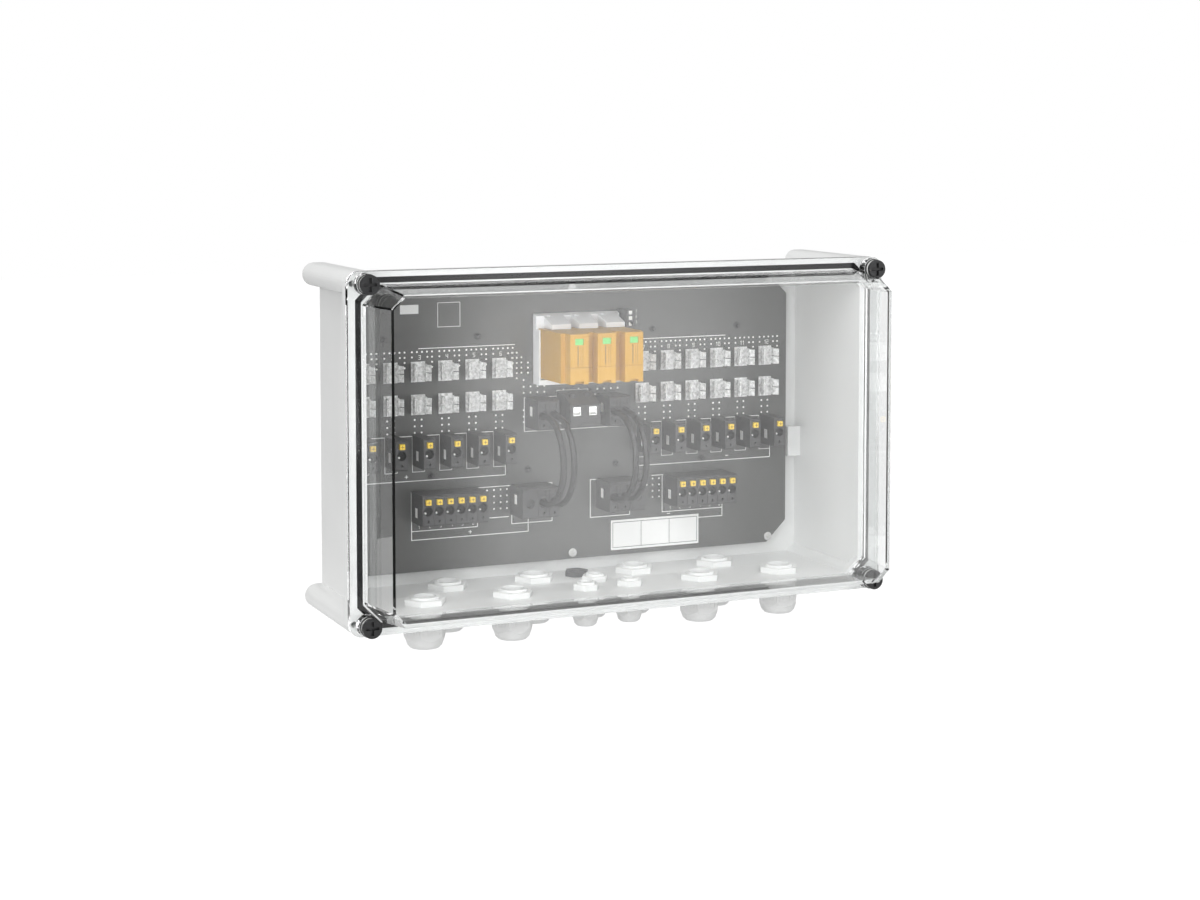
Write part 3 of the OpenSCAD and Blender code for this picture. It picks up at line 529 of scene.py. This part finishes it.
def lean_walls(obj):
    """Draft of the mould: the feet of the cover's walls stand further out than their front edges."""
    side_lean, corner_lean, corner_rise = 0.0075, 0.003, 0.005
    tree = bpy.data.node_groups.new("draft", "GeometryNodeTree")
    for way in ("INPUT", "OUTPUT"):
        tree.interface.new_socket("Geometry", in_out=way, socket_type="NodeSocketGeometry")

    def calc(kind, a, b=0.0):
        return add(tree, "ShaderNodeMath", {0: a, 1: b}, operation=kind).outputs[0]

    def times(*values):
        total = values[0]
        for value in values[1:]:
            total = calc("MULTIPLY", total, value)
        return total

    place = add(tree, "ShaderNodeSeparateXYZ", {0: add(tree, "GeometryNodeInputPosition").outputs[0]})
    x, y, z = place.outputs
    across, height = calc("ABSOLUTE", x), calc("ABSOLUTE", z)
    foot = times(
        calc("GREATER_THAN", y, -0.130), calc("GREATER_THAN", across, 0.216), calc("LESS_THAN", across, 0.231)
    )
    side = times(foot, calc("LESS_THAN", height, 0.1245))
    corner = times(foot, calc("LESS_THAN", across, 0.221), calc("GREATER_THAN", height, 0.129))
    out = calc("ADD", times(side, side_lean), times(corner, corner_lean))
    shift = add(
        tree,
        "ShaderNodeCombineXYZ",
        {0: times(out, calc("SIGN", x)), 2: times(corner, calc("SIGN", z), corner_rise)},
    )
    move = add(
        tree,
        "GeometryNodeSetPosition",
        {"Geometry": tree.nodes.new("NodeGroupInput").outputs[0], "Offset": shift.outputs[0]},
    )
    tree.links.new(move.outputs[0], tree.nodes.new("NodeGroupOutput").inputs[0])
    obj.modifiers.new("draft", "NODES").node_group = tree


board_print()
board_vias()
bare_plates()
board_pegs()
wire_entries()
terminal_marks()
module_prints()
button_crosses()
screw_rings()
alarm_ports()
gland_ribs()
lean_walls(nodes["cover"])

EDGES = {
    "enclosure_base": 1.2,
    "cover": 0.5,
    "surge_base": 0.5,
    "alarm_header": 0.3,
    "circuit_board": 0.2,
    "gland_bodies": 0.6,
    "gland_dome_nuts": 0.8,
    "gland_locknuts": 0.5,
    "vent_plug": 0.8,
    "vent_locknut": 0.5,
}
for name, obj in nodes.items():
    if name.startswith("surge_module"):
        width = 0.7
    elif "terminal" in name:
        width = 0.35
    elif "button" in name or name.startswith("cover_screw"):
        width = 0.4
    else:
        width = EDGES.get(name)
    if width:
        round_edges(obj, width, weld=True)

# Light, floor and camera

WHITE = (1, 1, 1, 1)


def seen(tree):
    """1 for rays that show the background: straight, mirrored or through the clear cover."""
    path = add(tree, "ShaderNodeLightPath")
    total = path.outputs["Is Camera Ray"]
    for ray in ("Is Glossy Ray", "Is Transmission Ray"):
        total = add(tree, "ShaderNodeMath", {0: total, 1: path.outputs[ray]}, operation="MAXIMUM").outputs[0]
    return total


def white_world():
    """Soft light from all round, with a white background."""
    world = bpy.data.worlds.new("studio")
    scene.world = world
    world.use_nodes = True
    tree = world.node_tree
    soft = tree.nodes["Background"]
    soft.inputs["Color"].default_value = WHITE
    soft.inputs["Strength"].default_value = 0.78
    white = add(tree, "ShaderNodeBackground", {"Color": WHITE, "Strength": 1.0})
    both = add(tree, "ShaderNodeMixShader", {0: seen(tree), 1: soft.outputs[0], 2: white.outputs[0]})
    tree.links.new(both.outputs[0], tree.nodes["World Output"].inputs["Surface"])


def plane(name, place, scale, turn=0.0):
    bpy.ops.mesh.primitive_plane_add(size=1, location=place, rotation=(math.radians(turn), 0, 0))
    obj = bpy.context.object
    obj.name = name
    obj.scale = scale
    return obj


def pale_floor():
    """Plain floor that looks white and keeps the shadow."""
    bpy.ops.mesh.primitive_plane_add(size=16, location=(0, 0, -0.42))
    floor = bpy.context.object
    floor.name = "floor"
    mat, tree, bsdf = start("floor_white")
    bsdf.inputs["Base Color"].default_value = (0.50, 0.50, 0.50, 1)
    bsdf.inputs["Roughness"].default_value = 0.8
    glow = add(tree, "ShaderNodeEmission", {"Color": WHITE, "Strength": 1.5})
    share = add(tree, "ShaderNodeMath", {0: seen(tree), 1: 0.6}, operation="MULTIPLY")
    mix = add(tree, "ShaderNodeMixShader", {0: share.outputs[0], 1: bsdf.outputs[0], 2: glow.outputs[0]})
    show(tree, mix.outputs[0])
    floor.data.materials.append(mat)


def soft_screen():
    """Soft vertical light band at the front right, which the cover and the board mirror."""
    screen = plane("screen", (0.62, -1.5, -0.1), (1.8, 0.62, 1), 90)
    mat, tree, _ = start("screen_white")
    place = add(tree, "ShaderNodeSeparateXYZ", {0: add(tree, "ShaderNodeTexCoord").outputs["Generated"]})
    across = add(tree, "ShaderNodeValToRGB", {"Fac": place.outputs["X"]})
    across.color_ramp.interpolation = "B_SPLINE"
    levels = (
        (0.0, 0.05),
        (0.285, 0.05),
        (0.33, 0.5),
        (0.38, 0.92),
        (0.45, 1.0),
        (0.53, 0.86),
        (0.60, 0.52),
        (1.0, 0.42),
    )
    stops = across.color_ramp.elements
    while len(stops) < len(levels):
        stops.new(0.5)
    for stop, (spot, level) in zip(stops, levels):
        stop.position = spot
        stop.color = (level, level, level, 1)

    def up_the_screen(settings):
        return add(
            tree, "ShaderNodeMapRange", {"Value": place.outputs["Y"], **settings}, clamp=True
        ).outputs["Result"]

    band = up_the_screen({"From Min": 1.0, "From Max": 0.6})
    level = add(tree, "ShaderNodeMix", {0: band, 2: 0.5, 3: across.outputs["Color"]})
    rise = up_the_screen({"To Min": 2.3, "To Max": 3.1})
    strength = add(tree, "ShaderNodeMath", {0: level.outputs[0], 1: rise}, operation="MULTIPLY")
    glow = add(tree, "ShaderNodeEmission", {"Color": WHITE, "Strength": strength.outputs[0]})
    show(tree, glow.outputs[0])
    screen.data.materials.append(mat)
    screen.visible_camera = False
    screen.visible_shadow = False


def dark_card():
    """Dark card behind the box, mirrored only by faces that the camera sees at a low angle."""
    card = plane("card", (-0.3, 1.3, 0.4), (3.6, 1.6, 1), 90)
    mat, _, bsdf = start("card_black")
    bsdf.inputs["Base Color"].default_value = (0.02, 0.02, 0.02, 1)
    bsdf.inputs["Roughness"].default_value = 0.9
    card.data.materials.append(mat)
    for kind in ("camera", "diffuse", "transmission", "volume_scatter", "shadow"):
        setattr(card, "visible_" + kind, False)


def lamp(name, place, target, size, power):
    data = bpy.data.lights.new(name, "AREA")
    data.shape = "RECTANGLE"
    data.size, data.size_y = size
    data.energy = power
    obj = bpy.data.objects.new(name, data)
    scene.collection.objects.link(obj)
    obj.location = place
    obj.rotation_euler = (Vector(target) - Vector(place)).to_track_quat("-Z", "Y").to_euler()


def photo_camera():
    """Camera fitted to the edges of the box in the photo."""
    camera = bpy.data.objects.new("camera", bpy.data.cameras.new("camera"))
    scene.collection.objects.link(camera)
    camera.location = (-0.7889, -1.8468, 0.2717)
    camera.rotation_euler = Vector((0.40469, 0.91205, -0.06627)).to_track_quat("-Z", "Y").to_euler()
    camera.data.lens = 66.61
    camera.data.sensor_width = 36
    camera.data.shift_y = -0.1514
    scene.camera = camera


white_world()
pale_floor()
soft_screen()
dark_card()
lamp("key", (-0.9, -1.2, 2.0), (0, -0.1, 0), (1.6, 1.2), 20)
lamp("front", (0.7, -1.9, 0.9), (0, -0.1, 0), (1.2, 0.8), 4)
lamp("side", (-1.9, -1.5, 0.5), (0, -0.1, 0), (1.2, 1.2), 15)
lamp("low", (-0.9, -2.2, -0.2), (0, -0.1, -0.15), (0.8, 0.3), 5)
photo_camera()
scene.view_settings.view_transform = "Standard"
